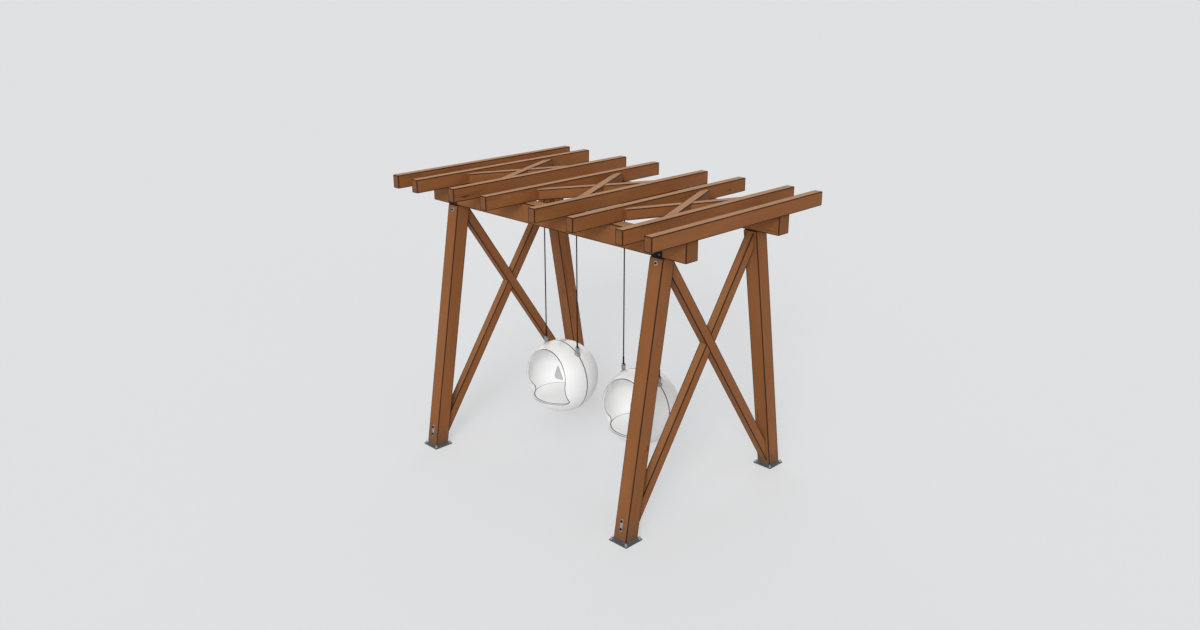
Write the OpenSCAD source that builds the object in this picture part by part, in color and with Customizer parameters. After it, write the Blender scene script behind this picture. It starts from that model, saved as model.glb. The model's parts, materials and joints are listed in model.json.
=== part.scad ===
// Wooden pergola with two hanging ball seats.
// Millimetres, Z up, X along the beams, the seats open towards -Y.
// The origin is on the ground under the middle of the roof.

/* [Roof timbers] */
// Length of a rafter, front to back
rafter_length = 2500; // [2000:10:3200]
// Width of a rafter
rafter_w = 90; // [70:1:120]
// Height of a rafter
rafter_h = 140; // [120:1:200]
// Width of a beam
beam_w = 160; // [130:1:200]
// Height of a beam
beam_h = 200; // [160:1:260]
// Distance between the centre lines of the two beams
beam_span = 1360; // [1100:2:1700]
// How far a beam runs on past the centre line of its last rafter
beam_tail = 8; // [-30:1:120]

/* [Bays along the beams] */
// Spacing of the two middle rafters
centre_bay = 702; // [560:2:900]
// Spacing of the two rafters that carry a seat
seat_bay = 506; // [420:2:600]
// Spacing of the two rafters in a braced side bay
side_bay = 612; // [480:2:800]
// Spacing of the last two rafters at each end
end_bay = 332; // [220:2:480]

/* [Legs] */
// Side of a leg's square section
leg_w = 160; // [130:1:200]
// Height of a leg from the stand-off under it to the bracket on it
leg_rise = 2671; // [2300:1:3000]
// How far a foot stands out from the centre line of its beam
leg_spread = 450; // [300:2:600]

/* [Braces] */
// Thickness of a brace across the plane of its cross
brace_w = 90; // [60:1:110]
// Depth of an end brace, and height of a roof brace
brace_h = 104; // [70:1:112]
// How far below a leg's top the upper corner of an end brace lies
brace_top_drop = 12; // [0:1:120]
// How far above a leg's foot the lower corner of an end brace lies
brace_foot_lift = 33; // [10:1:200]
// Height of a roof brace's underside above the rafters' undersides
roof_brace_lift = 13; // [0:1:16]

/* [Feet and brackets] */
// How far a square base plate stands out beyond its leg's sides
plate_rim = 33; // [30:1:60]
// Thickness of a base plate
plate_t = 12; // [8:1:20]
// Height of the stand-off that keeps a leg off its plate
standoff_h = 24; // [8:1:40]
// Distance from a base plate's edges to its bolts
bolt_edge = 20; // [16:1:24]
// Diameter of a base plate's bolt holes
bolt_hole_d = 18; // [12:1:22]
// Width of a beam bracket along the beam
bracket_w = 124; // [80:2:150]
// Height of a bracket's cheek on the beam's outer face
bracket_h = 110; // [60:2:140]
// Thickness of a bracket's plates
bracket_t = 10; // [6:1:12]

/* [Seats] */
// Outer radius of a ball seat
ball_r = 408; // [340:1:440]
// Thickness of a ball's wall
ball_wall = 21; // [15:1:35]
// Height of a ball's lowest point above the ground
ball_clearance = 356; // [250:2:450]
// Width of the shell that is left beside the mouth, seen from the front
mouth_margin = 94; // [70:1:140]
// Height of the middle of the mouth's arched top above the ball's centre
mouth_rise = 35; // [0:1:50]
// Radius of the mouth's two lower corners
mouth_corner_r = 62; // [30:1:90]
// Height of the flat seat above the ball's lowest point
pan_height = 190; // [160:1:230]
// Thickness of the seat pan
pan_t = 30; // [16:1:40]

/* [Seat hangers] */
// Diameter of a seat's cable
cable_d = 14; // [8:1:18]
// Diameter of the pins that the cables hang on
pin_d = 14; // [10:1:16]
// Thickness of the lugs that the pins pass through
lug_t = 12; // [8:1:16]
// Width of a lug
lug_w = 44; // [36:1:52]
// Distance from a lug's root to its pin
lug_reach = 42; // [36:1:52]
// Length of a hanger's plate under its rafter
hanger_l = 150; // [110:2:200]
// Thickness of a hanger's plate
hanger_t = 8; // [5:1:12]

/* [Hidden] */
// Radial clearance of a pin in its bore
pin_fit = 0.05;
// Gap between a lug and each cheek of the fork around it
fork_gap = 1;
// Thickness of a fork's cheeks
fork_cheek_t = 8;
// Rim of metal around a pin in its fork
fork_rim = 10;
// Clear room between a lug's round end and the root of the fork
fork_room = 6;
// Length of the solid root of a fork
fork_root = 14;
// Length of the sleeve that grips the cable's end
sleeve_l = 80;
// Thickness of the metal of that sleeve around the cable
sleeve_wall = 4;
// Height of a pin's head
pin_head_h = 4;
// Width of the pin's head beyond the pin
pin_head_rim = 4;
// Gap all round between the seat pan and the shell
pan_gap = 0.3;
// Inset of a leg's stand-off and of a hanger's plate from the timber's sides
timber_inset = 4;
// Gap between a brace's end and the leg that it meets, and all round where two braces cross
joint_gap = 0.2;
// Extra length of a cut beyond the piece that it cuts
overrun = 20;
// Smoothness of round pieces and of the balls
round_fn = 48;
ball_fn = 96;

timber = "saddlebrown";
steel = "dimgray";
shell_white = "whitesmoke";

// Heights of the main joints above the ground
leg_z0 = plate_t + standoff_h;
leg_z1 = leg_z0 + leg_rise;
beam_z = leg_z1 + bracket_t;
rafter_z = beam_z + beam_h;

// Places of the rafters, from the left end to the right end
inner_x = centre_bay / 2;
hang_x = inner_x + seat_bay;
leg_x = hang_x + side_bay;
end_x = leg_x + end_bay;
rafter_xs = [-end_x, -leg_x, -hang_x, -inner_x, inner_x, hang_x, leg_x, end_x];
seat_x = inner_x + seat_bay / 2;
beam_y = beam_span / 2;
beam_length = 2 * (end_x + beam_tail);

// Leg geometry in its own upright plane
leg_lean = atan(leg_spread / (leg_rise + bracket_t));
leg_half = leg_w / cos(leg_lean) / 2;
function leg_y(z) = beam_y + (beam_z - z) * tan(leg_lean);
function brace_y(z) = leg_y(z) - leg_half - joint_gap;
foot_y = leg_y(leg_z0);

// End braces: from near one leg's top to near the other leg's foot, in [y, z]
brace_top_z = leg_z1 - brace_top_drop;
brace_foot_z = leg_z0 + brace_foot_lift;
cross_top = [brace_y(brace_top_z), brace_top_z];
cross_foot = [-brace_y(brace_foot_z), brace_foot_z];
cross_run = cross_top - cross_foot;
cross_angle = atan2(cross_run[1], cross_run[0]) - asin(brace_h / norm(cross_run));
cross_slope = tan(cross_angle);

// Half of an end brace's depth, measured upright, and the height where the two braces cross
brace_rise = brace_h / cos(cross_angle) / 2;
cross_height = brace_top_z - cross_slope * cross_top[0] - brace_rise;

// Roof braces: they reach the upright planes through the beams' inner faces
roof_y = beam_y - beam_w / 2;

// Base plates and their bolts
plate_w = leg_w + 2 * plate_rim;
bolt_spacing = plate_w - 2 * bolt_edge;

// Seat geometry
ball_z = ball_clearance + ball_r;
ball_ri = ball_r - ball_wall;
pan_drop = ball_r - pan_height;
mouth_r = ball_r - mouth_margin;
top_pin_z = rafter_z - hanger_t - lug_reach;
lug_dx = seat_bay / 2;
lug_root_z = ball_z + sqrt(ball_r * ball_r - lug_dx * lug_dx);
low_pin_z = lug_root_z + lug_reach;
fork_w = lug_t + 2 * (fork_gap + fork_cheek_t);
fork_r = pin_d / 2 + fork_rim;
crotch = lug_w / 2 + fork_room;
sleeve_d = cable_d + 2 * sleeve_wall;

// Draws an outline given as [y, z] points, as a slab across X
module across_x(width) {
  rotate([90, 0, 90]) linear_extrude(height = width, center = true) children();
}

// One rafter, numbered from the left end
module rafter(number) {
  color(timber)
    translate([rafter_xs[number - 1], 0, rafter_z + rafter_h / 2])
      cube([rafter_w, rafter_length, rafter_h], center = true);
}

// One of the two beams that carry the rafters
module beam(side) {
  color(timber)
    translate([0, side * beam_y, beam_z + beam_h / 2])
      cube([beam_length, beam_w, beam_h], center = true);
}

// One splayed leg, cut level at its top and its foot
module leg(end, side) {
  outline = [
    [side * (foot_y - leg_half), leg_z0], [side * (foot_y + leg_half), leg_z0],
    [side * (leg_y(leg_z1) + leg_half), leg_z1], [side * (leg_y(leg_z1) - leg_half), leg_z1]
  ];
  color(timber) translate([end * leg_x, 0, 0]) across_x(leg_w) polygon(outline);
}

// Where an end brace's edge, rising by slope from height z at the middle, ends beside a leg's inner face
function brace_end(z, slope) =
  let (y = brace_y(z) / (1 + slope * tan(leg_lean))) [y, z + slope * y];

// Outline of the end brace that rises towards +Y, cut along both legs' inner faces
function end_brace_outline() =
  let (low = cross_height - brace_rise, high = cross_height + brace_rise)
  let (foot_low = brace_end(low, -cross_slope), foot_high = brace_end(high, -cross_slope))
  [
    [-foot_low[0], foot_low[1]], brace_end(low, cross_slope),
    brace_end(high, cross_slope), [-foot_high[0], foot_high[1]]
  ];

// One brace of an end frame's cross, halved where it passes the other one
module end_brace(end, rise) {
  color(timber)
    translate([end * leg_x, 0, 0])
      difference() {
        across_x(brace_w) mirrored_outline(rise) polygon(end_brace_outline());
        translate([rise * (brace_w - joint_gap) / 2, 0, 0])
          across_x(brace_w) mirrored_outline(-rise) polygon(cross_strip());
      }
}

// A brace's full-depth strip where the two braces cross, with the gap around it
function cross_strip() =
  let (reach = brace_h / sin(cross_angle) + overrun, rise = brace_rise + joint_gap / cos(cross_angle))
  [
    [-reach, cross_height - rise - reach * cross_slope],
    [reach, cross_height - rise + reach * cross_slope],
    [reach, cross_height + rise + reach * cross_slope],
    [-reach, cross_height + rise - reach * cross_slope]
  ];

// Mirrors an outline from front to back where rise is -1
module mirrored_outline(rise) {
  mirror([rise < 0 ? 1 : 0, 0, 0]) children();
}

// One brace of a roof bay's cross, from corner to corner, halved where it passes the other one
module roof_brace(centre_x, bay, rise) {
  x = (bay - rafter_w) / 2;
  angle = atan(roof_y / x);
  along_beam = brace_w / sin(angle) / 2;
  along_rafter = brace_w / cos(angle) / 2;
  outline = [
    [-x, -roof_y], [along_beam - x, -roof_y], [x, roof_y - along_rafter],
    [x, roof_y], [x - along_beam, roof_y], [-x, along_rafter - roof_y]
  ];
  notch_h = (brace_h + joint_gap) / 2 + overrun;
  notch_w = brace_w + 2 * joint_gap;
  notch_z = rise > 0 ? (brace_h - joint_gap) / 2 : -overrun;
  color(timber)
    translate([centre_x, 0, rafter_z + roof_brace_lift])
      mirror([rise < 0 ? 1 : 0, 0, 0])
        difference() {
          linear_extrude(height = brace_h) polygon(outline);
          translate([0, 0, notch_z])
            linear_extrude(height = notch_h)
              rotate([0, 0, -angle]) square([3 * brace_w / sin(2 * angle), notch_w], center = true);
        }
}

// Base plate with its stand-off and four bolt holes
module shoe(end, side) {
  color(steel)
    translate([end * leg_x, side * foot_y, 0])
      difference() {
        union() {
          translate([0, 0, plate_t / 2]) cube([plate_w, plate_w, plate_t], center = true);
          translate([0, 0, leg_z0 / 2])
            cube([leg_w - 2 * timber_inset, leg_w - 2 * timber_inset, leg_z0], center = true);
        }
        for (dx = [-1, 1], dy = [-1, 1])
          translate([dx * bolt_spacing / 2, dy * bolt_spacing / 2, -overrun])
            cylinder(d = bolt_hole_d, h = plate_t + 2 * overrun, $fn = round_fn);
      }
}

// Bracket on a leg's top: a plate under the beam with a cheek on the beam's outer face
module bracket(end, side) {
  color(steel)
    translate([end * leg_x, side * beam_y, leg_z1]) {
      translate([0, side * bracket_t / 2, bracket_t / 2])
        cube([bracket_w, beam_w + bracket_t, bracket_t], center = true);
      translate([0, side * (beam_w + bracket_t) / 2, (bracket_t + bracket_h) / 2])
        cube([bracket_w, bracket_t, bracket_t + bracket_h], center = true);
    }
}

// Flat lug with a round end and a bore, its root at depth below the pin
module lug(depth) {
  difference() {
    across_x(lug_t) union() {
      circle(d = lug_w, $fn = round_fn);
      translate([-lug_w / 2, -depth]) square([lug_w, depth]);
    }
    rotate([0, 90, 0])
      cylinder(d = pin_d + 2 * pin_fit, h = lug_t + 2 * overrun, center = true, $fn = round_fn);
  }
}

// Two hanger plates with lugs, one under each rafter of a seat
module hangers(hand) {
  color(steel)
    for (dx = [-lug_dx, lug_dx])
      translate([hand * seat_x + dx, 0, 0]) {
        translate([0, 0, rafter_z - hanger_t / 2])
          cube([rafter_w - 2 * timber_inset, hanger_l, hanger_t], center = true);
        translate([0, 0, top_pin_z]) mirror([0, 0, 1]) lug(lug_reach);
      }
}

// Fork with its pin at the origin and the cable's sleeve going up
module fork() {
  for (face = [-1, 1])
    translate([face * (fork_w - fork_cheek_t) / 2, 0, 0])
      across_x(fork_cheek_t) union() {
        circle(r = fork_r, $fn = round_fn);
        translate([-fork_r, 0]) square([2 * fork_r, crotch + fork_root]);
      }
  translate([0, 0, crotch + fork_root / 2]) cube([fork_w, 2 * fork_r, fork_root], center = true);
  translate([0, 0, crotch]) cylinder(d = sleeve_d, h = fork_root + sleeve_l, $fn = round_fn);
  rotate([0, 90, 0]) {
    cylinder(d = pin_d, h = fork_w, center = true, $fn = round_fn);
    for (face = [-1, 1])
      translate([0, 0, face * (fork_w + pin_head_h) / 2])
        cylinder(d = pin_d + 2 * pin_head_rim, h = pin_head_h, center = true, $fn = round_fn);
  }
}

// Two taut cables of a seat, with a fork at each end
module cables(hand) {
  color(steel)
    for (dx = [-lug_dx, lug_dx])
      translate([hand * seat_x + dx, 0, 0]) {
        translate([0, 0, low_pin_z]) fork();
        translate([0, 0, top_pin_z]) mirror([0, 0, 1]) fork();
        translate([0, 0, low_pin_z + crotch])
          cylinder(d = cable_d, h = top_pin_z - low_pin_z - 2 * crotch, $fn = round_fn);
      }
}

// Two lugs that stand on a ball's seam
module lugs(hand) {
  color(steel)
    translate([hand * seat_x, 0, 0])
      difference() {
        for (dx = [-lug_dx, lug_dx])
          translate([dx, 0, low_pin_z]) lug(lug_reach + lug_t);
        translate([0, 0, ball_z]) sphere(r = ball_r, $fn = ball_fn);
      }
}

// Front outline, in [x, z] from the ball's centre, of what is cut away for the mouth
module mouth_outline() {
  corner_x = mouth_r - mouth_corner_r;
  corner_z = mouth_corner_r - pan_drop;
  intersection() {
    translate([0, mouth_rise]) circle(r = mouth_r, $fn = ball_fn);
    translate([-mouth_r, mouth_rise]) square([2 * mouth_r, mouth_r]);
  }
  translate([-mouth_r, corner_z]) square([2 * mouth_r, mouth_rise - corner_z]);
  translate([-corner_x, -pan_drop]) square([2 * corner_x, mouth_rise + pan_drop]);
  for (x = [-corner_x, corner_x])
    translate([x, corner_z]) circle(r = mouth_corner_r, $fn = round_fn);
}

// One half of a ball's hollow shell, front -1 or back +1
module shell(hand, side) {
  color(shell_white)
    translate([hand * seat_x, 0, ball_z])
      intersection() {
        difference() {
          sphere(r = ball_r, $fn = ball_fn);
          sphere(r = ball_ri, $fn = ball_fn);
          if (side < 0) rotate([90, 0, 0]) linear_extrude(height = ball_r + overrun) mouth_outline();
        }
        translate([0, side * (ball_r + overrun) / 2, 0])
          cube([2 * (ball_r + overrun), ball_r + overrun, 2 * (ball_r + overrun)], center = true);
      }
}

// Flat seat inside a ball, its edge following the shell
module seat_pan(hand) {
  color(shell_white)
    translate([hand * seat_x, 0, ball_z])
      intersection() {
        sphere(r = ball_ri - pan_gap, $fn = ball_fn);
        translate([0, 0, -pan_drop - pan_t / 2]) cube([2 * ball_r, 2 * ball_r, pan_t], center = true);
      }
}

rafter(1);  // rafter_1
rafter(2);  // rafter_2
rafter(3);  // rafter_3
rafter(4);  // rafter_4
rafter(5);  // rafter_5
rafter(6);  // rafter_6
rafter(7);  // rafter_7
rafter(8);  // rafter_8
beam(-1);  // front_beam
beam(1);  // back_beam
leg(-1, -1);  // front_left_leg
leg(1, -1);  // front_right_leg
leg(-1, 1);  // back_left_leg
leg(1, 1);  // back_right_leg
end_brace(-1, -1);  // left_end_brace_a
end_brace(-1, 1);  // left_end_brace_b
end_brace(1, -1);  // right_end_brace_a
end_brace(1, 1);  // right_end_brace_b
roof_brace(-(leg_x + hang_x) / 2, side_bay, 1);  // left_roof_brace_a
roof_brace(-(leg_x + hang_x) / 2, side_bay, -1);  // left_roof_brace_b
roof_brace(0, centre_bay, 1);  // middle_roof_brace_a
roof_brace(0, centre_bay, -1);  // middle_roof_brace_b
roof_brace((leg_x + hang_x) / 2, side_bay, 1);  // right_roof_brace_a
roof_brace((leg_x + hang_x) / 2, side_bay, -1);  // right_roof_brace_b
shoe(-1, -1);  // front_left_shoe
shoe(1, -1);  // front_right_shoe
shoe(-1, 1);  // back_left_shoe
shoe(1, 1);  // back_right_shoe
bracket(-1, -1);  // front_left_bracket
bracket(1, -1);  // front_right_bracket
bracket(-1, 1);  // back_left_bracket
bracket(1, 1);  // back_right_bracket
hangers(-1);  // left_hangers
hangers(1);  // right_hangers
cables(-1);  // left_cables
cables(1);  // right_cables
lugs(-1);  // left_lugs
lugs(1);  // right_lugs
shell(-1, -1);  // left_front_shell
shell(1, -1);  // right_front_shell
shell(-1, 1);  // left_back_shell
shell(1, 1);  // right_back_shell
seat_pan(-1);  // left_seat_pan
seat_pan(1);  // right_seat_pan
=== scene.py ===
"""Looks of the pergola: its timbers, steel fittings, wire ropes and ball seats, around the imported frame."""

import json
import logging
import math
import random
from collections.abc import Sequence
from dataclasses import dataclass
from enum import Enum

import bmesh
import bpy
from mathutils import Matrix, Vector


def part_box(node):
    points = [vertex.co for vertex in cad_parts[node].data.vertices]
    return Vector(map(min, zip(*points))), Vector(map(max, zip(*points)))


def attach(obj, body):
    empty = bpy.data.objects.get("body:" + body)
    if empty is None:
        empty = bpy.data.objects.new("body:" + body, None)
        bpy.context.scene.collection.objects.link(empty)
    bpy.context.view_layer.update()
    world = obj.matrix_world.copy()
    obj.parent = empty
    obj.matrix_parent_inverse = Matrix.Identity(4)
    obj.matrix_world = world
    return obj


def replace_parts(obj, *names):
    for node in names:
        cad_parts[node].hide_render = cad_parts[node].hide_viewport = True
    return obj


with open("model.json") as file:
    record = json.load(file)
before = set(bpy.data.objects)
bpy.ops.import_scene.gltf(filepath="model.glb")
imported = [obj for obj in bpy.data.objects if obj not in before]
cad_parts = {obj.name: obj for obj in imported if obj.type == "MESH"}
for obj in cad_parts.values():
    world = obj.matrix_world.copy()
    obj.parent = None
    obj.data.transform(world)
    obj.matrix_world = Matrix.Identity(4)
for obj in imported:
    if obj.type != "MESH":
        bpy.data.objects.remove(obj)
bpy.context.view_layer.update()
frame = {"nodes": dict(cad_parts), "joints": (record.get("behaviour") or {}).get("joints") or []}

log = logging.getLogger("pergola")

Colour = tuple[float, float, float]
Point2 = tuple[float, float]

X = Vector((1.0, 0.0, 0.0))
Y = Vector((0.0, 1.0, 0.0))
Z = Vector((0.0, 0.0, 1.0))
FULL_TURN = 2.0 * math.pi
HALF_TURN = math.pi
QUARTER_TURN = math.pi / 2.0
SIXTH_TURN = math.pi / 3.0
SIGN_PAIRS = ((-1, -1), (-1, 1), (1, -1), (1, 1))

# Least turn, in radians, of an edge that is rounded on a plate, or rounded or shaded sharp elsewhere
PLATE_EDGE_ANGLE = 0.7
EDGE_ANGLE = 0.6

# Points closer together than these, in metres, become one
JOIN_REACH = 1e-6
SLIVER_REACH = 1e-7
WELD_REACH = 1e-5


def box_middle(node: str) -> Vector:
    """Middle of a CAD node's box."""
    low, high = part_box(node)
    return (low + high) / 2.0


def box_size(node: str) -> Vector:
    """Size of a CAD node's box along X, Y and Z."""
    low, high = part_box(node)
    return high - low


# Places that the frame gives, in metres
LEG_X = box_middle("back_right_leg").x
BEAM_Y = box_middle("back_beam").y
BEAM_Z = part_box("back_beam")[0].z
RAFTER_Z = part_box("rafter_1")[0].z
FOOT_Y = box_middle("back_right_shoe").y
FOOT_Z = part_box("back_right_leg")[0].z
LEG_SLOPE = (FOOT_Y - BEAM_Y) / (BEAM_Z - FOOT_Z)
# Half of a leaning leg's depth along Y, to a tenth of a millimetre
LEG_HALF = round(box_size("back_right_leg").x / 2.0 * math.hypot(1.0, LEG_SLOPE), 4)
SEAT_X, _, TOP_PIN_Z = next(joint["pos_m"] for joint in frame["joints"] if joint["name"] == "right_swing")
ROPE_DX = box_middle("rafter_6").x - SEAT_X

# Driving sizes of the ball seats, in metres
BALL_Z = 0.764
BALL_R = 0.408
INNER_R = BALL_R - 0.021
PAN_GAP = 0.0003
EYE_RISE = math.sqrt(BALL_R**2 - ROPE_DX**2)


class Slot(str, Enum):
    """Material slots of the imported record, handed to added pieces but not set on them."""

    STEEL = "steel"
    CABLE = "cable"
    SHELL = "shell"


class Corner(Enum):
    """Corners of the frame, as signs along X and Y."""

    FRONT_LEFT = (-1, -1)
    FRONT_RIGHT = (1, -1)
    BACK_LEFT = (-1, 1)
    BACK_RIGHT = (1, 1)

    @property
    def label(self) -> str:
        """Name of the corner as the CAD nodes spell it."""
        return self.name.lower()

    @property
    def end(self) -> int:
        """Sign of the corner along X."""
        return self.value[0]

    @property
    def side(self) -> int:
        """Sign of the corner along Y."""
        return self.value[1]


class Hand(Enum):
    """The two seats, as signs along X."""

    LEFT = -1
    RIGHT = 1

    @property
    def label(self) -> str:
        """Name of the seat as the CAD nodes spell it."""
        return self.name.lower()

    @property
    def body(self) -> str:
        """CAD body that the seat moves with."""
        return f"{self.label}_seat"

    @property
    def x(self) -> float:
        """Place of the seat's middle along X."""
        return self.value * SEAT_X


def spread(start: float, stop: float, steps: int) -> list[float]:
    """Values evenly spread from start to stop, both among them."""
    return [start + (stop - start) * i / steps for i in range(steps + 1)]


def around(count: int) -> list[float]:
    """Angles evenly spread round a full turn, in radians."""
    return [FULL_TURN * i / count for i in range(count)]


def polar(radius: float, angle: float, height: float) -> Vector:
    """Point at a radius and an angle about the local Z axis."""
    return Vector((radius * math.cos(angle), radius * math.sin(angle), height))


def bend(
    first: Sequence[float], corner: Sequence[float], last: Sequence[float], steps: int
) -> list[tuple[float, ...]]:
    """Rounds a corner.

    Args:
        first: Where the rounding starts.
        corner: The sharp corner.
        last: Where it ends.
        steps: Number of steps.

    Returns:
        Points from first to last, both among them.
    """
    points = []
    for t in spread(0.0, 1.0, steps):
        a, b, c = (1 - t) * (1 - t), 2 * t * (1 - t), t * t
        points.append(tuple(a * p + b * q + c * r for p, q, r in zip(first, corner, last)))
    return points


def arc(centre: Point2, radius: float, start: float, stop: float, steps: int) -> list[Point2]:
    """Points along an arc, with angles in radians.

    Args:
        centre: Its centre.
        radius: Its radius.
        start: First angle.
        stop: Last angle.
        steps: Number of steps.

    Returns:
        The points, both ends among them.
    """
    angles = spread(start, stop, steps)
    return [(centre[0] + radius * math.cos(a), centre[1] + radius * math.sin(a)) for a in angles]


def facing(at: Vector, out: Vector, top: Vector) -> Matrix:
    """Local frame on a surface.

    Args:
        at: Its origin.
        out: Direction out of the surface, its Z.
        top: Direction that its Y leans to.

    Returns:
        The frame as a matrix.
    """
    z = out.normalized()
    x = top.cross(z).normalized()
    y = z.cross(x)
    return Matrix.Translation(at) @ Matrix((x, y, z)).transposed().to_4x4()


def leg_place(corner: Corner, height: float) -> Matrix:
    """Local frame on the middle of a leg's outer face, Y up along the leg.

    Args:
        corner: The leg's corner.
        height: Height above the ground.

    Returns:
        The frame as a matrix.
    """
    y = BEAM_Y + (BEAM_Z - height) * LEG_SLOPE + LEG_HALF
    at = Vector((corner.end * LEG_X, corner.side * y, height))
    return facing(at, Vector((0.0, corner.side, LEG_SLOPE)), Vector((0.0, -corner.side * LEG_SLOPE, 1.0)))


class Wire:
    """A shader socket whose arithmetic adds Math nodes."""

    def __init__(self, graph: "Graph", socket: bpy.types.NodeSocket) -> None:
        """Wraps a socket.

        Args:
            graph: The material's graph that the socket is in.
            socket: The output socket.
        """
        self.graph = graph
        self.socket = socket

    def math(self, operation: str, *terms: "Wire | float") -> "Wire":
        """Adds one Math node.

        Args:
            operation: Blender's name of the operation.
            terms: Its values, in order.

        Returns:
            The result.
        """
        return self.graph.node("ShaderNodeMath", {"operation": operation}, dict(enumerate(terms)))

    def __add__(self, other: "Wire | float") -> "Wire":
        """Sum."""
        return self.math("ADD", self, other)

    def __radd__(self, other: float) -> "Wire":
        """Sum with a number on the left."""
        return self.math("ADD", other, self)

    def __sub__(self, other: "Wire | float") -> "Wire":
        """Difference."""
        return self.math("SUBTRACT", self, other)

    def __rsub__(self, other: float) -> "Wire":
        """Difference from a number."""
        return self.math("SUBTRACT", other, self)

    def __mul__(self, other: "Wire | float") -> "Wire":
        """Product."""
        return self.math("MULTIPLY", self, other)

    def __rmul__(self, other: float) -> "Wire":
        """Product with a number on the left."""
        return self.math("MULTIPLY", other, self)

    def __abs__(self) -> "Wire":
        """Size without sign."""
        return self.math("ABSOLUTE", self)

    def root(self) -> "Wire":
        """Square root."""
        return self.math("SQRT", self)

    def sine(self) -> "Wire":
        """Sine of an angle in radians."""
        return self.math("SINE", self)

    def larger(self, other: "Wire | float") -> "Wire":
        """The larger of two values."""
        return self.math("MAXIMUM", self, other)

    def smaller(self, other: "Wire | float") -> "Wire":
        """The smaller of two values."""
        return self.math("MINIMUM", self, other)

    def beside(self, out: str) -> "Wire":
        """Another output of the same node."""
        return Wire(self.graph, self.socket.node.outputs[out])

    def rise(self, low: float, high: float) -> "Wire":
        """Smooth step from 0 at low to 1 at high."""
        sockets = {0: self, 1: low, 2: high, 3: 0.0, 4: 1.0}
        return self.graph.node("ShaderNodeMapRange", {"interpolation_type": "SMOOTHSTEP"}, sockets)


class Graph:
    """Node graph of one material or of the world."""

    def __init__(self, owner: bpy.types.Material | bpy.types.World) -> None:
        """Starts an empty graph.

        Args:
            owner: The material or the world.
        """
        self.owner = owner
        owner.use_nodes = True
        self.tree = owner.node_tree
        self.tree.nodes.clear()

    @classmethod
    def named(cls, name: str) -> "Graph":
        """Graph of a new material."""
        return cls(bpy.data.materials.new(name))

    def node(
        self, kind: str, settings: dict | None = None, sockets: dict | None = None, out: int | str = 0
    ) -> Wire:
        """Adds any node.

        Args:
            kind: Blender's node type.
            settings: Attributes of the node, set first.
            sockets: Values or links by socket name or number.
            out: Name or number of the output that is wanted.

        Returns:
            That output.
        """
        made = self.tree.nodes.new(kind)
        for key, value in (settings or {}).items():
            setattr(made, key, value)
        for key, value in (sockets or {}).items():
            if isinstance(value, Wire):
                self.tree.links.new(value.socket, made.inputs[key])
            elif made.inputs[key].type == "RGBA":
                made.inputs[key].default_value = (*value, 1.0)
            else:
                made.inputs[key].default_value = value
        return Wire(self, made.outputs[out])

    def place(self) -> Wire:
        """Position in the object's frame."""
        return self.node("ShaderNodeTexCoord", out="Object")

    def normal(self) -> Wire:
        """Direction that the surface faces."""
        return self.node("ShaderNodeNewGeometry", out="Normal")

    def vector(self, x: "Wire | float", y: "Wire | float", z: "Wire | float") -> Wire:
        """Vector of three values."""
        return self.node("ShaderNodeCombineXYZ", sockets={0: x, 1: y, 2: z})

    def along(self, vector: Wire, axis: "Wire | Vector") -> Wire:
        """Length of a vector along an axis or another direction."""
        sockets = {0: vector, 1: axis}
        return self.node("ShaderNodeVectorMath", {"operation": "DOT_PRODUCT"}, sockets, "Value")

    def less(self, vector: Wire, offset: Vector) -> Wire:
        """A vector with an offset taken off."""
        return self.node("ShaderNodeVectorMath", {"operation": "SUBTRACT"}, {0: vector, 1: offset})

    def noise(self, vector: Wire, scale: float = 1.0, detail: float = 2.0) -> Wire:
        """Soft noise from 0 to 1."""
        return self.node("ShaderNodeTexNoise", sockets={"Vector": vector, "Scale": scale, "Detail": detail})

    def blend(self, share: "Wire | float", first: "Wire | Colour", second: "Wire | Colour") -> Wire:
        """Colour that goes from the first to the second as share goes from 0 to 1."""
        return self.node("ShaderNodeMix", {"data_type": "RGBA"}, {0: share, 6: first, 7: second}, 2)

    def finish(
        self, colour: Wire, rough: "Wire | float", height: Wire, depth: float, **sockets: float
    ) -> bpy.types.Material:
        """Ends the graph in a Principled shader.

        Args:
            colour: Base colour.
            rough: Roughness.
            height: Relief from 0 to 1.
            depth: Depth of that relief in metres.
            sockets: Plain numbers for other sockets, with _ for a space.

        Returns:
            The material.
        """
        relief = {"Strength": 1.0, "Distance": depth, "Height": height}
        links = {"Base Color": colour, "Roughness": rough}
        links["Normal"] = self.node("ShaderNodeBump", sockets=relief, out="Normal")
        links.update({key.replace("_", " "): value for key, value in sockets.items()})
        return self.end(self.node("ShaderNodeBsdfPrincipled", sockets=links))

    def end(self, shader: Wire) -> bpy.types.Material | bpy.types.World:
        """Sends a shader to the surface.

        Args:
            shader: The shader.

        Returns:
            The graph's owner.
        """
        kind = "World" if isinstance(self.owner, bpy.types.World) else "Material"
        output = self.tree.nodes.new(f"ShaderNodeOutput{kind}")
        self.tree.links.new(shader.socket, output.inputs["Surface"])
        return self.owner


@dataclass(frozen=True)
class Member:
    """One timber's middle, direction and half sizes. Without a half length, its ends show no arris."""

    node: str
    middle: Vector
    along: Vector
    across: Vector
    half_across: float
    half_up: float
    half_along: float = 100.0

    @property
    def up(self) -> Vector:
        """Third direction of the timber's own frame."""
        return self.along.cross(self.across)


@dataclass(frozen=True)
class Streak:
    """Noise drawn out along the grain: its cycles for each metre along it and across it, and its detail."""

    along: float
    across: float
    detail: float = 0.0


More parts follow.
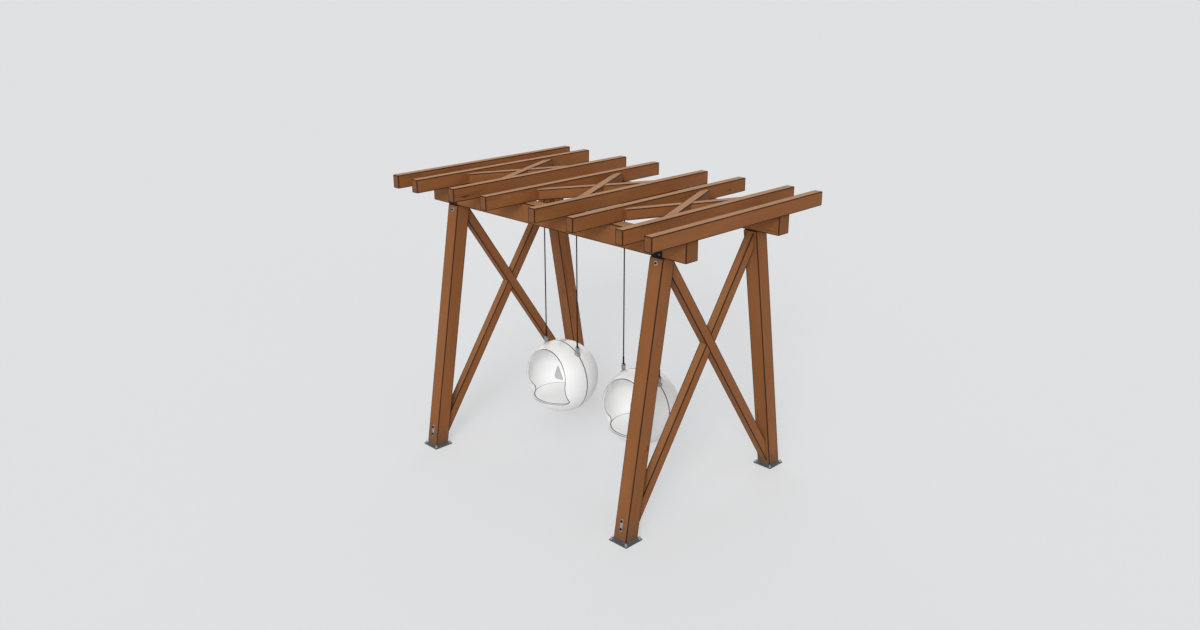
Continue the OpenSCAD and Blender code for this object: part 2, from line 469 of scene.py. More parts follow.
@dataclass(frozen=True)
class TimberFinish:
    """Brown-stained softwood with rings, fibres, knots and checks, and painted light on faces that look up.
    """

    stain: Colour = (0.242, 0.090, 0.027)
    late_wood: Colour = (0.155, 0.053, 0.015)
    pale: Colour = (0.285, 0.117, 0.041)
    # Lighter colour of faces that look up: painted top light
    bleached: Colour = (0.44, 0.225, 0.105)
    end_grain: Colour = (0.150, 0.055, 0.019)
    knot: Colour = (0.070, 0.022, 0.008)
    check: Colour = (0.018, 0.008, 0.004)
    arris: Colour = (0.016, 0.0078, 0.0042)
    splash: Colour = (0.130, 0.070, 0.036)
    wander: Streak = Streak(0.7, 5.0, 3.0)
    fibres: Streak = Streak(3.0, 170.0, 2.0)
    tones: Streak = Streak(1.1, 7.0, 3.0)
    check_patches: Streak = Streak(0.5, 3.0, 1.0)
    check_lines: Streak = Streak(0.55, 24.0, 1.0)
    knot_cells: Streak = Streak(1.9, 4.6)
    shift: Point2 = (-40.0, 40.0)
    pith_across: Point2 = (-1.3, 1.3)
    pith_below: Point2 = (0.5, 1.7)
    ring_pitch: float = 0.0085
    arris_band: Point2 = (0.0068, 0.0114)
    splash_band: Point2 = (0.06, 0.30)
    relief: float = 0.0014
    gloss: float = 0.16

    def material(self, member: Member) -> bpy.types.Material:
        """Makes the material of one timber, with the grain along it.

        Args:
            member: The timber.

        Returns:
            Its material.
        """
        g = Graph.named(f"timber_{member.node}")
        grain = Grain(g, member, self)
        late, check, knot = grain.late_wood(), grain.checks(), grain.knots()
        fibre, tone = grain.streak(self.fibres), grain.streak(self.tones)
        outward = g.normal()
        end = abs(g.along(outward, member.along)).rise(0.75, 0.93)
        # Share of painted top light, on faces that look up but not on end grain
        sky = g.along(outward, Z).rise(0.35, 0.95) * (1.0 - end)
        height = g.along(g.place(), Z) + (tone - 0.5) * 0.25
        splash = 1.0 - height.rise(*self.splash_band)

        colour = g.blend(late * (0.20 + 0.55 * tone), self.stain, self.late_wood)
        for share, tint in (
            (tone.rise(0.42, 0.78) * 0.55, self.pale),
            (fibre.rise(0.50, 0.80) * 0.30, self.late_wood),
            (sky * (0.95 - 0.30 * fibre - 0.20 * late), self.bleached),
            (end * 0.6, self.end_grain),
            (splash * 0.55, self.splash),
            (knot * 0.6, self.knot),
            (check * 0.85, self.check),
            (grain.arris(tone) * 0.94, self.arris),
        ):
            colour = g.blend(share, colour, tint)
        rough = 0.56 + 0.16 * fibre - 0.06 * late + 0.08 * sky
        relief = 0.5 + 0.22 * fibre - 0.18 * late - 0.5 * check
        return g.finish(colour, rough, relief, self.relief, Specular_IOR_Level=self.gloss)


class Grain:
    """Figure of one timber's wood, in the timber's own frame."""

    def __init__(self, g: Graph, member: Member, finish: TimberFinish) -> None:
        """Works out places along, across and up the timber, and where its pith runs.

        Args:
            g: Graph of the timber's material.
            member: The timber.
            finish: Sizes of the figure.
        """
        dice = random.Random(member.node)
        local = g.less(g.place(), member.middle)
        self.g, self.member, self.finish = g, member, finish
        self.run = g.along(local, member.along)
        self.u = self.run + dice.uniform(*finish.shift)
        self.v = g.along(local, member.across)
        self.w = g.along(local, member.up)
        self.wander = self.streak(finish.wander) - 0.5
        self.pith_v = self.v - member.half_across * dice.uniform(*finish.pith_across) + self.wander * 0.05
        self.pith_w = self.w + member.half_up * dice.uniform(*finish.pith_below)

    def drawn_out(self, streak: Streak) -> Wire:
        """Place in the timber, drawn out along the grain."""
        return self.g.vector(self.u * streak.along, self.v * streak.across, self.w * streak.across)

    def streak(self, streak: Streak) -> Wire:
        """Noise from 0 to 1, drawn out along the grain."""
        return self.g.noise(self.drawn_out(streak), detail=streak.detail)

    def late_wood(self) -> Wire:
        """Rings of dark late wood about the pith.

        Returns:
            Share of late wood.
        """
        pith_r = (self.pith_v * self.pith_v + self.pith_w * self.pith_w).root() + self.wander * 0.012
        drift = self.g.noise(self.g.vector(self.u * 0.25, pith_r * 45.0, 0.0)) - 0.5
        return (pith_r * (FULL_TURN / self.finish.ring_pitch) + drift * 9.0).sine().rise(-0.1, 0.95)

    def checks(self) -> Wire:
        """Fine drying cracks along the grain, in patches.

        Returns:
            Share of crack.
        """
        beside = abs(self.streak(self.finish.check_lines) - 0.5).rise(0.002, 0.009)
        return (1.0 - beside) * self.streak(self.finish.check_patches).rise(0.58, 0.66)

    def knots(self) -> Wire:
        """Knots in a few of the cells that the timber is parted into.

        Returns:
            Share of knot.
        """
        sockets = {"Vector": self.drawn_out(self.finish.knot_cells), "Scale": 1.0}
        cells = self.g.node("ShaderNodeTexVoronoi", sockets=sockets)
        chosen = self.g.node("ShaderNodeSeparateColor", sockets={0: cells.beside("Color")}).rise(0.70, 0.74)
        return (1.0 - (cells + self.wander * 0.04).rise(0.045, 0.10)) * chosen

    def arris(self, tone: Wire) -> Wire:
        """Dark band along the timber's edges, of a slightly uneven width.

        Args:
            tone: Noise that makes it uneven.

        Returns:
            Share of the band.
        """
        side = self.member.half_across - abs(self.v)
        face = self.member.half_up - abs(self.w)
        tip = self.member.half_along - abs(self.run)
        inset = side.smaller(face).larger(side.larger(face).smaller(tip))
        return 1.0 - (inset + (tone - 0.5) * 0.004).rise(*self.finish.arris_band)


@dataclass(frozen=True)
class MetalFinish:
    """Coated or bare metal with fine peel, dust on top and wear on its edges."""

    name: str
    base: Colour
    worn: Colour
    dust: Colour = (0.20, 0.185, 0.165)
    metallic: float = 0.0
    rough: float = 0.5
    mottle: float = 45.0
    scuffs: float = 140.0
    peel: float = 900.0
    relief: float = 0.0003
    gloss: float = 0.5
    dusty: float = 0.35
    worn_width: float = 0.0025

    def material(self) -> bpy.types.Material:
        """Makes the material.

        Returns:
            The material, shared by every piece with this finish.
        """
        g = Graph.named(self.name)
        place = g.place()
        cloud = g.noise(place, self.mottle, 3.0)
        peel = g.noise(place, self.peel, 1.0)
        scuff = g.noise(place, self.scuffs, 4.0)
        eased = g.node("ShaderNodeBevel", {"samples": 6}, {"Radius": self.worn_width})
        wear = (1.0 - g.along(eased, g.normal())).rise(0.01, 0.12) * scuff.rise(0.42, 0.64)
        up = g.along(g.normal(), Z).rise(0.4, 0.95)
        dust = up * cloud.rise(0.40, 0.75) * self.dusty
        shade = tuple(0.72 * c for c in self.base)
        colour = g.blend(cloud.rise(0.3, 0.7), self.base, shade)
        colour = g.blend(dust, colour, self.dust)
        colour = g.blend(wear * 0.8, colour, self.worn)
        rough = self.rough - 0.12 + 0.24 * scuff + 0.2 * dust
        relief = 0.6 * peel + 0.4 * scuff
        return g.finish(
            colour, rough, relief, self.relief, Metallic=self.metallic, Specular_IOR_Level=self.gloss
        )


@dataclass(frozen=True)
class ShellFinish:
    """Smooth moulded plastic with a faint peel, fine scuffs with a little dirt, and painted shade, mottled,
    on faces that look down.
    """

    name: str
    base: Colour
    # Grey of the painted shade on faces that look down, and of the dirt in scuffs
    dirt: Colour = (0.50, 0.49, 0.46)
    line: Colour = (0.022, 0.022, 0.024)
    line_share: float = 0.92
    rough: float = 0.24
    clouds: float = 5.0
    scuffs: float = 120.0
    peel: float = 260.0
    relief: float = 0.00012
    coat: float = 0.25
    coat_rough: float = 0.12

    def trimmed(self, colour: Wire, x: Wire, y: Wire, z: Wire) -> Wire:
        """Adds the lines and tints of one kind of piece; a plain piece has none.

        Args:
            colour: The colour so far.
            x: Place along X from the ball's centre.
            y: Place along Y from the ball's centre.
            z: Place along Z from the ball's centre.

        Returns:
            The colour with them.
        """
        return colour

    def material(self) -> bpy.types.Material:
        """Makes the material.

        Returns:
            The material, shared by both seats.
        """
        g = Graph.named(self.name)
        place = g.place()
        x = abs(g.along(place, X)) - SEAT_X
        y = g.along(place, Y)
        z = g.along(place, Z) - BALL_Z
        cloud = g.noise(place, self.clouds, 3.0)
        scuff = g.noise(place, self.scuffs, 5.0)
        peel = g.noise(place, self.peel, 1.0)
        # Faces that look down get painted shade, mottled by noise; the scuffs add a little real dirt
        down = g.along(g.normal(), -Z).rise(0.1, 0.95)
        dirt = down * cloud.rise(0.35, 0.8) * 0.22 + scuff.rise(0.62, 0.80) * 0.06
        shade = tuple(0.965 * c for c in self.base)
        colour = g.blend(cloud.rise(0.3, 0.7), self.base, shade)
        colour = g.blend(dirt, colour, self.dirt)
        colour = self.trimmed(colour, x, y, z)
        rough = self.rough + 0.10 * scuff + 0.08 * cloud
        relief = 0.7 * peel + 0.3 * cloud
        return g.finish(
            colour, rough, relief, self.relief, Coat_Weight=self.coat, Coat_Roughness=self.coat_rough
        )


@dataclass(frozen=True)
class Mouth:
    """Opening of a ball seat from the front, about the ball's centre: a round arch on a flat sill."""

    radius: float = 0.314
    rise: float = 0.035
    corner_r: float = 0.062
    sill: float = 0.218

    @property
    def corner_x(self) -> float:
        """Centre of a lower corner's rounding along X, on the right."""
        return self.radius - self.corner_r

    @property
    def corner_z(self) -> float:
        """Centre of a lower corner's rounding along Z."""
        return self.corner_r - self.sill

    @property
    def pan_r(self) -> float:
        """Radius of the flat seat's top, which lies level with the sill."""
        return math.sqrt((INNER_R - PAN_GAP) ** 2 - self.sill**2)

    def outline(self) -> list[Point2]:
        """Goes around the opening.

        Returns:
            Points as (x, z), evenly spread.
        """
        cx, cz = self.corner_x, self.corner_z
        points = arc((0.0, self.rise), self.radius, 0.0, HALF_TURN, 128)
        points += [(-self.radius, z) for z in spread(self.rise, cz, 16)[1:-1]]
        points += arc((-cx, cz), self.corner_r, HALF_TURN, 3.0 * QUARTER_TURN, 14)
        points += [(x, -self.sill) for x in spread(-cx, cx, 48)[1:-1]]
        points += arc((cx, cz), self.corner_r, 3.0 * QUARTER_TURN, FULL_TURN, 14)
        points += [(self.radius, z) for z in spread(cz, self.rise, 16)[1:-1]]
        return points

    def beyond(self, x: Wire, z: Wire) -> Wire:
        """Distance outwards from the opening's edge.

        Args:
            x: Place along X from the ball's centre.
            z: Place along Z from the ball's centre.

        Returns:
            The distance, which holds good near the edge.
        """
        arch_z = (z - self.rise).larger(0.0)
        arch = (x * x + arch_z * arch_z).root() - self.radius
        side = (abs(x) - self.corner_x).larger(0.0)
        under = (self.corner_z - z).larger(0.0)
        return arch.larger((side * side + under * under).root() - self.corner_r)


@dataclass(frozen=True)
class MouldingFinish(ShellFinish):
    """Finish of the ball's shells: painted light that makes the lining paler, and dark lines on the mouth's
    lip and on the seam.
    """

    # Paler white inside the ball: painted light that lifts its shade
    lining: Colour = (0.910, 0.910, 0.908)
    lining_band: Point2 = (0.002, 0.006)
    mouth: Mouth = Mouth()
    front_band: Point2 = (-0.10, -0.09)
    lip_start: Point2 = (0.0003, 0.0010)
    lip_end: Point2 = (0.0062, 0.0074)
    seam_band: Point2 = (0.0060, 0.0080)
    skin_band: Point2 = (0.008, 0.011)

    def trimmed(self, colour: Wire, x: Wire, y: Wire, z: Wire) -> Wire:
        """Adds painted light that makes the lining paler inside, and the lines on the lip and, outside alone,
        on the seam.

        Args:
            colour: The colour so far.
            x: Place along X from the ball's centre.
            y: Place along Y from the ball's centre.
            z: Place along Z from the ball's centre.

        Returns:
            The colour with them.
        """
        g = colour.graph
        depth = (x * x + y * y + z * z).root() - INNER_R
        # Painted light: the inner wall is made paler to lift the shade inside the ball
        colour = g.blend(1.0 - depth.rise(*self.lining_band), colour, self.lining)
        beyond = self.mouth.beyond(x, z)
        front = 1.0 - y.rise(*self.front_band)
        lip = beyond.rise(*self.lip_start) * (1.0 - beyond.rise(*self.lip_end)) * front
        seam = (1.0 - abs(y).rise(*self.seam_band)) * depth.rise(*self.skin_band)
        return g.blend(lip.larger(seam) * self.line_share, colour, self.line)


@dataclass(frozen=True)
class PanFinish(ShellFinish):
    """Finish of the flat seat, with a dark line where it meets the wall: the joint's shadow, painted."""

    edge_r: float = Mouth().pan_r
    edge_band: Point2 = (-0.0120, -0.0105)

    def trimmed(self, colour: Wire, x: Wire, y: Wire, z: Wire) -> Wire:
        """Adds the line along the seat's edge: painted shadow of the joint with the wall."""
        # Painted shadow of the joint between the seat and the wall
        edge = ((x * x + y * y).root() - self.edge_r).rise(*self.edge_band)
        return colour.graph.blend(edge * self.line_share, colour, self.line)


class Finishes:
    """The finishes that pieces share, made once."""

    def __init__(self) -> None:
        """Makes every shared material."""
        self.coated = MetalFinish(
            "coated_steel", (0.007, 0.007, 0.008), (0.09, 0.088, 0.085), rough=0.6, gloss=0.10, dusty=0.06
        ).material()
        self.plate = MetalFinish(
            "foot_steel", (0.080, 0.082, 0.087), (0.30, 0.30, 0.30), rough=0.52
        ).material()
        self.zinc = MetalFinish(
            "zinc_fixings", (0.42, 0.43, 0.45), (0.62, 0.62, 0.63), metallic=0.75, rough=0.42, mottle=180.0
        ).material()
        self.fitting = MetalFinish(
            "rope_fittings", (0.36, 0.365, 0.375), (0.60, 0.60, 0.61), metallic=0.2, rough=0.42, mottle=90.0
        ).material()
        self.rope = MetalFinish(
            "wire_rope", (0.006, 0.006, 0.007), (0.04, 0.04, 0.042),
            rough=0.55, mottle=60.0, gloss=0.10, dusty=0.05,
        ).material()
        self.rubber = MetalFinish(
            "seam_gasket", (0.030, 0.030, 0.032), (0.05, 0.05, 0.05), rough=0.7
        ).material()
        self.outside = MouldingFinish("seat_shell", (0.845, 0.845, 0.845)).material()
        # The seat's white is paler than the shell's: painted light that lifts the shade inside the ball
        self.inside = PanFinish("seat_pan", (0.955, 0.955, 0.953), rough=0.32).material()
        self.fairing = ShellFinish("seat_fairing", (0.52, 0.525, 0.53), rough=0.4).material()


class Form:
    """A mesh that is put together from grids, turned shapes and plates, in the object's frame."""

    # Steps up a six-sided head, as shares of its widest radius and of its height
    HEAD_STEPS = ((0.0, 0.0), (1.0, 0.0), (1.0, 0.72), (0.955, 0.88), (0.875, 1.0), (0.0, 1.0))

    def __init__(self) -> None:
        """Starts an empty mesh."""
        self.bm = bmesh.new()

    def grid(self, rows: Sequence[Sequence[Vector]], close_rows: bool = False) -> None:
        """Joins rows of points with faces, each row closed on itself.

        Args:
            rows: Rows with the same number of points.
            close_rows: Whether the last row joins the first.
        """
        verts = [[self.bm.verts.new(p) for p in row] for row in rows]
        if close_rows:
            verts.append(verts[0])
        for one, two in zip(verts, verts[1:]):
            for j in range(len(one)):
                k = (j + 1) % len(one)
                self.bm.faces.new((one[j], one[k], two[k], two[j]))

    def turned(self, outline: Sequence[Point2], place: Matrix, sides: int = 32) -> None:
        """Turns an outline about the local Z axis.

        Args:
            outline: Points as (radius, height), from one end of the axis to the other.
            place: Where the local frame lies.
            sides: Number of sides.
        """
        self.grid([[place @ polar(r, a, z) for a in around(sides)] for r, z in outline])

    def hexagon(self, flats: float, height: float, place: Matrix, base: float = 0.0) -> None:
        """Adds a six-sided head or nut with turned-down corners.

        Args:
            flats: Width across its flats.
            height: Its height.
            place: Where the local frame lies, Z out of the surface.
            base: Height of its underside.
        """
        half = SIXTH_TURN / 2.0
        widest = flats / 2.0 / math.cos(half)
        rows = []
        for limit, share in self.HEAD_STEPS:
            row = []
            for a in around(48):
                side = flats / 2.0 / math.cos((a + half) % SIXTH_TURN - half)
                row.append(place @ polar(min(side, widest * limit), a, base + height * share))
            rows.append(row)
        self.grid(rows)

    def plate(
        self, outline: Sequence[Point2], low: float, high: float, place: Matrix, round_by: float
    ) -> None:
        """Adds a flat plate with rounded edges.

        Args:
            outline: Points around it as (x, y).
            low: Height of its underside.
            high: Height of its top.
            place: Where the local frame lies.
            round_by: Width of the rounding on its edges.
        """
        part = bmesh.new()
        base = part.faces.new([part.verts.new((x, y, low)) for x, y in outline])
        risen = bmesh.ops.extrude_face_region(part, geom=[base])["geom"]
        moved = [g for g in risen if isinstance(g, bmesh.types.BMVert)]
        bmesh.ops.translate(part, verts=moved, vec=(0.0, 0.0, high - low))
        bmesh.ops.recalc_face_normals(part, faces=part.faces)
        sharp = [e for e in part.edges if e.calc_face_angle(0.0) > PLATE_EDGE_ANGLE]
        bmesh.ops.bevel(
            part, geom=sharp, offset=round_by, segments=2, profile=0.5, affect="EDGES", clamp_overlap=True
        )
        bmesh.ops.transform(part, matrix=place, verts=part.verts)
        mesh = bpy.data.meshes.new("part")
        part.to_mesh(mesh)
        part.free()
        self.bm.from_mesh(mesh)
        bpy.data.meshes.remove(mesh)

    def made(self, name: str, material: bpy.types.Material, body: str, slot: Slot) -> bpy.types.Object:
        """Ends the mesh and sets it on its body.

        Args:
            name: The piece's name.
            material: Its finish.
            body: CAD body that it moves with.
            slot: Material slot of the record; not used.

        Returns:
            The piece.
        """
        bmesh.ops.remove_doubles(self.bm, verts=self.bm.verts, dist=JOIN_REACH)
        bmesh.ops.dissolve_degenerate(self.bm, edges=self.bm.edges, dist=SLIVER_REACH)
        bmesh.ops.recalc_face_normals(self.bm, faces=self.bm.faces)
        for face in self.bm.faces:
            face.smooth = True
        for edge in self.bm.edges:
            edge.smooth = edge.calc_face_angle(0.0) < EDGE_ANGLE
        mesh = bpy.data.meshes.new(name)
        self.bm.to_mesh(mesh)
        self.bm.free()
        mesh.materials.append(material)
        piece = bpy.data.objects.new(name, mesh)
        bpy.context.scene.collection.objects.link(piece)
        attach(piece, body)
        log.info("%s: %d faces on %s", name, len(mesh.polygons), body)
        return piece

    def fixed(self, name: str, material: bpy.types.Material) -> bpy.types.Object:
        """Ends the mesh as a steel piece on the frame."""
        return self.made(name, material, "frame", Slot.STEEL)


@dataclass(frozen=True)
class Fastener:
    """A washer, its rim eased by so much inwards and downwards, with a six-sided head or nut on it."""

    washer_r: float
    washer_t: float
    ease: Point2
    flats: float
    head_h: float
    both_edges: bool = False

    def add(self, form: Form, place: Matrix) -> None:
        """Adds one to a mesh.

        Args:
            form: The mesh.
            place: Local frame on the surface under it, Z outwards.
        """
        inset, drop = self.ease
        rim = self.washer_r - inset
        foot = [(rim, 0.0), (self.washer_r, drop)] if self.both_edges else [(self.washer_r, 0.0)]
        top = [(self.washer_r, self.washer_t - drop), (rim, self.washer_t), (0.0, self.washer_t)]
        form.turned([(0.0, 0.0), *foot, *top], place)
        form.hexagon(self.flats, self.head_h, place, self.washer_t)


def soften(node: str, width: float, material: bpy.types.Material) -> None:
    """Rounds a CAD node's edges and gives it a finish.

    Args:
        node: The node's name.
        width: Width of the rounding.
        material: Its finish.
    """
    piece = frame["nodes"][node]
    weld = piece.modifiers.new("weld", "WELD")
    weld.merge_threshold = WELD_REACH
    bevel = piece.modifiers.new("soften", "BEVEL")
    bevel.width = width
    bevel.segments = 2
    bevel.limit_method = "ANGLE"
    bevel.angle_limit = EDGE_ANGLE
    if not piece.material_slots:
        piece.data.materials.append(material)
    for slot in piece.material_slots:
        slot.material = material
    log.info("%s: CAD node dressed", node)


@dataclass
class Timbers:
    """The timber frame: CAD members with softened arrises and a grain of their own."""

    finish: TimberFinish = TimberFinish()
    arris: float = 0.0040
    brace_half: Point2 = (0.045, 0.052)
    brace_angle: float = math.radians(55.998)
    brace_height: float = 1.7087

    def dress(self) -> None:
        """Softens every timber's arrises and gives it its grain."""
        for member in self.members():
            soften(member.node, self.arris, self.finish.material(member))

    def members(self) -> list[Member]:
        """Lists every timber with its direction.

        Returns:
            The timbers.
        """
        made = [self.boxed(f"rafter_{n}", Y, X) for n in range(1, 9)]
        made += [self.boxed(f"{side}_beam", X, Y) for side in ("front", "back")]
        for corner in Corner:
            lean = Vector((0.0, -corner.side * LEG_SLOPE, 1.0)).normalized()
            made.append(self.boxed(f"{corner.label}_leg", lean, X))
        for hand in Hand:
            for letter, rise in (("a", -1), ("b", 1)):
                run = Vector((0.0, math.cos(self.brace_angle), rise * math.sin(self.brace_angle)))
                middle = Vector((hand.value * LEG_X, 0.0, self.brace_height))
                made.append(Member(f"{hand.label}_end_brace_{letter}", middle, run, X, *self.brace_half))
        for bay in ("left", "middle", "right"):
            for letter, rise in (("a", 1), ("b", -1)):
                node = f"{bay}_roof_brace_{letter}"
                size = box_size(node)
                run = Vector((rise * size.x, size.y, 0.0)).normalized()
                across = Vector((run.y, -run.x, 0.0))
                made.append(Member(node, box_middle(node), run, across, *self.brace_half))
        return made

    def boxed(self, node: str, along: Vector, across: Vector) -> Member:
        """Makes a member from its CAD box: a level one, or a leaning one with a square section.

        Args:
            node: The timber's CAD node.
            along: Direction of its length.
            across: Level direction across it.

        Returns:
            The member.
        """
        size = box_size(node)
        half = size.dot(across) / 2.0
        if along.z:
            return Member(node, box_middle(node), along, across, half, half)
        return Member(node, box_middle(node), along, across, half, size.z / 2.0, size.dot(along) / 2.0)


@dataclass
class Feet:
    """Base plates with their anchors, and the bolted straps near the legs' feet."""

    finishes: Finishes
    plate_half: float = 0.113
    plate_top: float = 0.012
    block_half: float = 0.076
    corner_r: float = 0.004
    edge: float = 0.0014
    sink: float = 0.002
    bead: float = 0.006
    anchor_reach: float = 0.093
    nut: Fastener = Fastener(0.0155, 0.0030, (0.0005, 0.0006), 0.0240, 0.0125, both_edges=True)
    stud_core: float = 0.0068
    stud_crest: float = 0.0080
    stud_pitch: float = 0.002
    stud_turns: int = 4
    stud_out: float = 0.009
    stud_bury: float = 0.004
    stud_tip: float = 0.001
    strap_height: float = 0.147
    strap_reach: float = 0.050
    strap_half: float = 0.015
    strap_t: float = 0.004
    strap_bury: float = 0.001
    strap_edge: float = 0.0012
    bolt_reach: float = 0.040
    bolt: Fastener = Fastener(0.0130, 0.0020, (0.0004, 0.0004), 0.0190, 0.0090)

    def build(self) -> None:
        """Makes the plates with their anchors, and the straps, at every corner."""
        for corner in Corner:
            self.base(corner)
            self.anchors(corner)
            self.strap(corner)

    def base(self, corner: Corner) -> None:
        """Base plate with the welded block that the leg stands on.

        Args:
            corner: The leg's corner.
        """
        form, r = Form(), self.corner_r
        place = Matrix.Translation((corner.end * LEG_X, corner.side * FOOT_Y, 0.0))
        for half, low, high in (
            (self.plate_half, 0.0, self.plate_top),
            (self.block_half, self.plate_top - self.sink, FOOT_Z),
        ):
            outline = [(x + r * nx, y + r * ny) for x, y, nx, ny in self.rim(half - r, 1)]
            form.plate(outline, low, high, place, self.edge)
        form.grid(self.weld(place), close_rows=True)
        piece = form.fixed(f"{corner.label}_base_plate", self.finishes.plate)
        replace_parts(piece, f"{corner.label}_shoe")

    def weld(self, place: Matrix) -> list[list[Vector]]:
        """Uneven bead of weld around the block.

        Args:
            place: Local frame of the base plate.

        Returns:
            A section of the bead at each point around the block.
        """
        deep, flat = -self.sink, -self.sink / 2.0
        rows = []
        for i, (x, y, nx, ny) in enumerate(self.rim(self.block_half, 40)):
            size = self.bead * (1.0 + 0.10 * math.sin(1.9 * i) + 0.05 * math.sin(0.7 * i))
            section = [(deep, flat), (size, flat)]
            section += [(0.85 * size, 0.35 * size), (0.4 * size, 0.8 * size), (deep, size)]
            rows.append([place @ Vector((x + d * nx, y + d * ny, self.plate_top + z)) for d, z in section])
        return rows

    def rim(self, half: float, steps: int) -> list[tuple[float, float, float, float]]:
        """Points around a square, with the way out of it at each.

        Args:
            half: Half of the square's side.
            steps: Points along each side.

        Returns:
            Points as (x, y, out along x, out along y).
        """
        made = []
        for quarter, (nx, ny) in enumerate(((1, 0), (0, 1), (-1, 0), (0, -1))):
            for along in spread(-half, half, steps)[:-1]:
                made.append((half * nx - along * ny, half * ny + along * nx, nx, ny))
            for j in range(5):
                a = (quarter + j / 5.0) * QUARTER_TURN
                made.append((half * (nx - ny), half * (ny + nx), math.cos(a), math.sin(a)))
        return made

    def anchors(self, corner: Corner) -> None:
        """Four studs with a nut and a washer on one base plate.

        Args:
            corner: The plate's corner.
        """
        form = Form()
        for dx, dy in SIGN_PAIRS:
            x = corner.end * LEG_X + dx * self.anchor_reach
            y = corner.side * FOOT_Y + dy * self.anchor_reach
            # Each nut stands at an angle of its own, as tightening leaves it
            turn = Matrix.Rotation(0.4 * dx + 0.9 * dy, 4, "Z")
            place = Matrix.Translation((x, y, self.plate_top)) @ turn
            self.nut.add(form, place)
            form.turned(self.stud(), place, sides=24)
        form.fixed(f"{corner.label}_anchors", self.finishes.zinc)

    def stud(self) -> list[Point2]:
        """Outline of a threaded stud's end, from inside its nut to its tip.

        Returns:
            Points as (radius, height above the base plate).
        """
        core, low = self.stud_core, self.nut.washer_t + self.nut.head_h
        high = low + self.stud_out
        points = [(0.0, low - self.stud_bury), (core, low - self.stud_bury)]
        for i in range(self.stud_turns):
            points.append((core, low + i * self.stud_pitch))
            points.append((self.stud_crest, low + (i + 0.5) * self.stud_pitch))
        return points + [(core, high), (core * 0.8, high + self.stud_tip), (0.0, high + self.stud_tip)]

    def strap(self, corner: Corner) -> None:
        """A short steel strap with two bolts on the outer face of one leg's foot.

        Args:
            corner: The leg's corner.
        """
        place = leg_place(corner, FOOT_Z + self.strap_height)
        outline = arc((0.0, self.strap_reach), self.strap_half, 0.0, HALF_TURN, 12)
        outline += arc((0.0, -self.strap_reach), self.strap_half, HALF_TURN, FULL_TURN, 12)
        form = Form()
        form.plate(outline, -self.strap_bury, self.strap_t, place, self.strap_edge)
        form.fixed(f"{corner.label}_foot_strap", self.finishes.zinc)
        bolts = Form()
        for y in (-self.bolt_reach, self.bolt_reach):
            turn = Matrix.Rotation(0.3 + 4.0 * y, 4, "Z")
            self.bolt.add(bolts, place @ Matrix.Translation((0.0, y, self.strap_t)) @ turn)
        bolts.fixed(f"{corner.label}_strap_bolts", self.finishes.coated)


@dataclass
class Brackets:
    """Beam brackets on the legs' tops, with their screws and the bolt through each leg."""

    finishes: Finishes
    edge: float = 0.002
    screw_reach: float = 0.040
    screw_rises: Point2 = (0.040, 0.095)
    screw: Fastener = Fastener(0.0105, 0.0020, (0.0015, 0.0008), 0.0130, 0.0060)
    bolt_drop: float = 0.056
    bolt_flats: float = 0.0190
    bolt_h: float = 0.0090
    bolt_turn: float = 0.35
    washer: tuple[Point2, ...] = (
        (0.0, -0.001), (0.0215, -0.001), (0.0215, 0.0022), (0.0208, 0.0032), (0.0120, 0.0036), (0.0, 0.0036)
    )

    def build(self) -> None:
        """Dresses the brackets and adds their fixings at every corner."""
        for corner in Corner:
            soften(f"{corner.label}_bracket", self.edge, self.finishes.coated)
            self.screws(corner)
            self.bolt(corner)

    def screws(self, corner: Corner) -> None:
        """Four screws in one bracket's cheek.

        Args:
            corner: The bracket's corner.
        """
        form = Form()
        low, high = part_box(f"{corner.label}_bracket")
        cheek = max(low.y * corner.side, high.y * corner.side)
        for dx in (-1, 1):
            for rise in self.screw_rises:
                x = corner.end * LEG_X + dx * self.screw_reach
                at = Vector((x, corner.side * cheek, low.z + rise))
                turn = Matrix.Rotation(dx * 0.5 + rise * 20.0, 4, "Z")
                self.screw.add(form, facing(at, Y * corner.side, Z) @ turn)
        form.fixed(f"{corner.label}_bracket_screws", self.finishes.plate)

    def bolt(self, corner: Corner) -> None:
        """The bolt near one leg's top: a wide washer with a six-sided head on it.

        Args:
            corner: The leg's corner.
        """
        place = leg_place(corner, BEAM_Z - self.bolt_drop)
        form = Form()
        form.turned(self.washer, place, sides=40)
        form.fixed(f"{corner.label}_leg_washer", self.finishes.zinc)
        head = Form()
        turn = Matrix.Rotation(self.bolt_turn, 4, "Z")
        head.hexagon(self.bolt_flats, self.bolt_h, place @ turn, self.washer[-1][1])
        head.fixed(f"{corner.label}_leg_bolt", self.finishes.coated)


